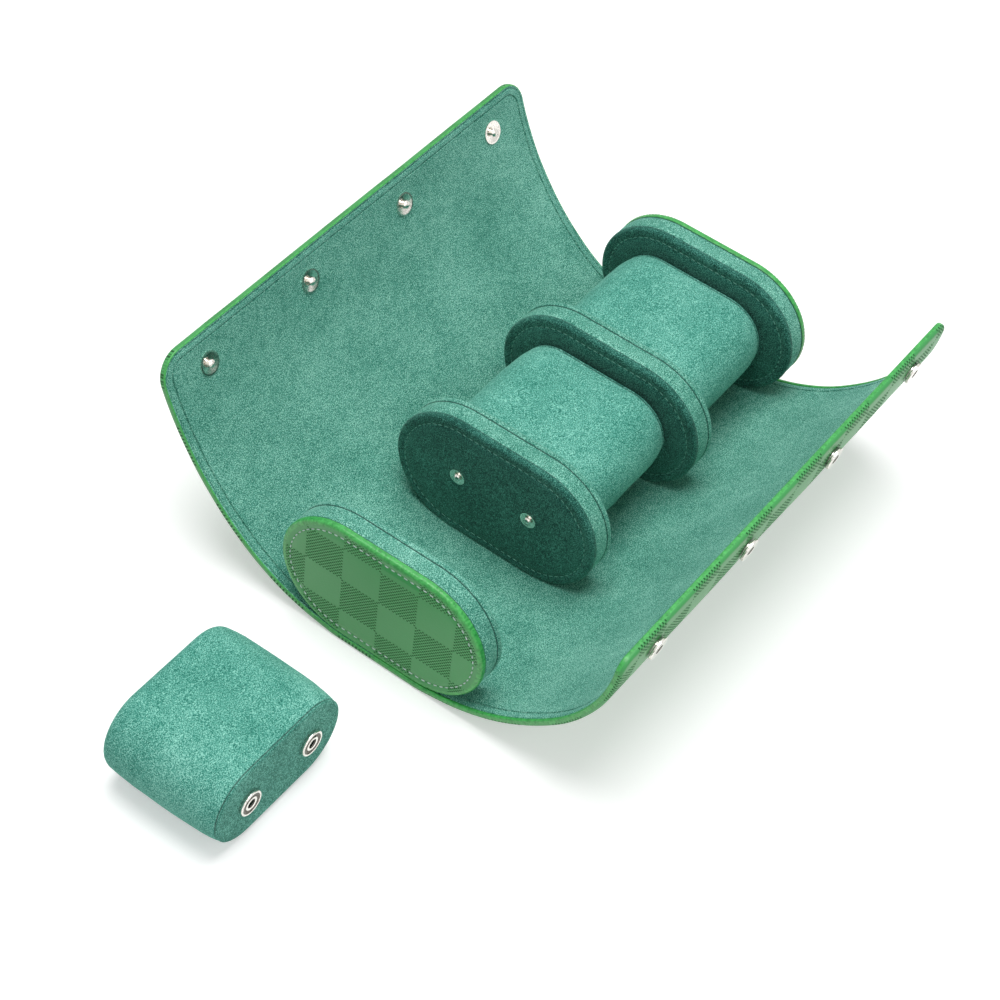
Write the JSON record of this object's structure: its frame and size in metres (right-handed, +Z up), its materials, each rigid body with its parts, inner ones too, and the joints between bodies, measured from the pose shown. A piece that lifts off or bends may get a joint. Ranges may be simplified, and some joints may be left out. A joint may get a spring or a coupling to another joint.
{
  "type": "watch travel case",
  "caption": "Roll-up travel case for wristwatches: a leather wrap closes with snaps round oval dividers that hold removable cushions.",
  "frame": {"origin": "middle of the flat underside of the wrap, where the closed or open case stands on a table", "axes": "+X along the roll from the front divider to the rear one, +Y towards the high flap, +Z up"},
  "size_m": [0.356, 0.2278, 0.094],
  "materials": {
    "green_leather": "satin",
    "teal_suede": "matte",
    "suede_panel": "matte",
    "grey_board": "matte",
    "foam": "matte",
    "nickel": "polished",
    "spring_steel": "satin"
  },
  "bodies": {
    "case": {"base_leather": "green_leather", "base_board": "grey_board", "base_lining": "teal_suede", "divider_1_front_panel": "green_leather", "divider_1_core": "foam", "divider_1_band": "teal_suede", "divider_1_back_panel": "suede_panel", "divider_2_front_panel": "suede_panel", "divider_2_core": "foam", "divider_2_band": "teal_suede", "divider_2_back_panel": "suede_panel", "divider_3_front_panel": "suede_panel", "divider_3_core": "foam", "divider_3_band": "teal_suede", "divider_3_back_panel": "suede_panel", "divider_4_front_panel": "suede_panel", "divider_4_core": "foam", "divider_4_band": "teal_suede", "divider_4_back_panel": "green_leather", "divider_studs": "nickel"},
    "left_strip_1": {"left_leather_1": "green_leather", "left_lining_1": "teal_suede"},
    "left_strip_2": {"left_leather_2": "green_leather", "left_lining_2": "teal_suede"},
    "left_strip_3": {"left_leather_3": "green_leather", "left_lining_3": "teal_suede"},
    "left_strip_4": {"left_leather_4": "green_leather", "left_lining_4": "teal_suede"},
    "left_strip_5": {"left_leather_5": "green_leather", "left_lining_5": "teal_suede", "flap_studs": "nickel", "flap_stud_caps": "nickel"},
    "right_strip_1": {"right_leather_1": "green_leather", "right_lining_1": "teal_suede"},
    "right_strip_2": {"right_leather_2": "green_leather", "right_lining_2": "teal_suede"},
    "right_strip_3": {"right_leather_3": "green_leather", "right_lining_3": "teal_suede"},
    "right_strip_4": {"right_leather_4": "green_leather", "right_lining_4": "teal_suede", "flap_sockets": "nickel", "flap_socket_springs": "spring_steel", "flap_socket_caps": "nickel"},
    "front_cushion": {"front_cushion_cover": "teal_suede", "front_cushion_core": "foam", "front_cushion_board": "grey_board", "front_cushion_sockets": "nickel", "front_cushion_springs": "spring_steel"},
    "middle_cushion": {"middle_cushion_cover": "teal_suede", "middle_cushion_core": "foam", "middle_cushion_board": "grey_board", "middle_cushion_sockets": "nickel", "middle_cushion_springs": "spring_steel"},
    "rear_cushion": {"rear_cushion_cover": "teal_suede", "rear_cushion_core": "foam", "rear_cushion_board": "grey_board", "rear_cushion_sockets": "nickel", "rear_cushion_springs": "spring_steel"}
  },
  "joints": [
    {"name": "left_hinge_1", "type": "hinge", "parent": "case", "child": "left_strip_1", "pos_m": [0, 0.03131, 0.00469], "axis": [1, 0, 0], "range_deg": [0, 18.95]},
    {"name": "left_hinge_2", "type": "hinge", "parent": "left_strip_1", "child": "left_strip_2", "pos_m": [0, 0.05033, 0.01069], "axis": [1, 0, 0], "range_deg": [0, 27.25]},
    {"name": "left_hinge_3", "type": "hinge", "parent": "left_strip_2", "child": "left_strip_3", "pos_m": [0, 0.06735, 0.02111], "axis": [1, 0, 0], "range_deg": [0, 19.32]},
    {"name": "left_hinge_4", "type": "hinge", "parent": "left_strip_3", "child": "left_strip_4", "pos_m": [0, 0.08196, 0.03474], "axis": [1, 0, 0], "range_deg": [0, 12.51]},
    {"name": "left_hinge_5", "type": "hinge", "parent": "left_strip_4", "child": "left_strip_5", "pos_m": [0, 0.09426, 0.05048], "axis": [1, 0, 0], "range_deg": [0, 31.25]},
    {"name": "right_hinge_1", "type": "hinge", "parent": "case", "child": "right_strip_1", "pos_m": [0, -0.03131, 0.00469], "axis": [-1, 0, 0], "range_deg": [0, 19.08]},
    {"name": "right_hinge_2", "type": "hinge", "parent": "right_strip_1", "child": "right_strip_2", "pos_m": [0, -0.05039, 0.01052], "axis": [-1, 0, 0], "range_deg": [0, 30.02]},
    {"name": "right_hinge_3", "type": "hinge", "parent": "right_strip_2", "child": "right_strip_3", "pos_m": [0, -0.06768, 0.0205], "axis": [-1, 0, 0], "range_deg": [0, 12.91]},
    {"name": "right_hinge_4", "type": "hinge", "parent": "right_strip_3", "child": "right_strip_4", "pos_m": [0, -0.08275, 0.03361], "axis": [-1, 0, 0], "range_deg": [0, 39.15]},
    {"name": "middle_cushion_lift", "type": "slide", "parent": "case", "child": "middle_cushion", "axis": [0, 0, -1], "range_m": [-0.07, 0]},
    {"name": "rear_cushion_lift", "type": "slide", "parent": "case", "child": "rear_cushion", "axis": [0, 0, -1], "range_m": [-0.07, 0]},
    {"name": "front_cushion_lift", "type": "slide", "parent": "case", "child": "front_cushion", "axis": [0, 0, -1], "range_m": [-0.07, 0]}
  ],
  "couplings": [
    {"joint": "left_hinge_2", "follows": "left_hinge_1", "ratio": 1.4376},
    {"joint": "left_hinge_3", "follows": "left_hinge_1", "ratio": 1.0196},
    {"joint": "left_hinge_4", "follows": "left_hinge_1", "ratio": 0.6601},
    {"joint": "left_hinge_5", "follows": "left_hinge_1", "ratio": 1.6491},
    {"joint": "right_hinge_2", "follows": "right_hinge_1", "ratio": 1.5729},
    {"joint": "right_hinge_3", "follows": "right_hinge_1", "ratio": 0.6764},
    {"joint": "right_hinge_4", "follows": "right_hinge_1", "ratio": 2.0517}
  ]
}
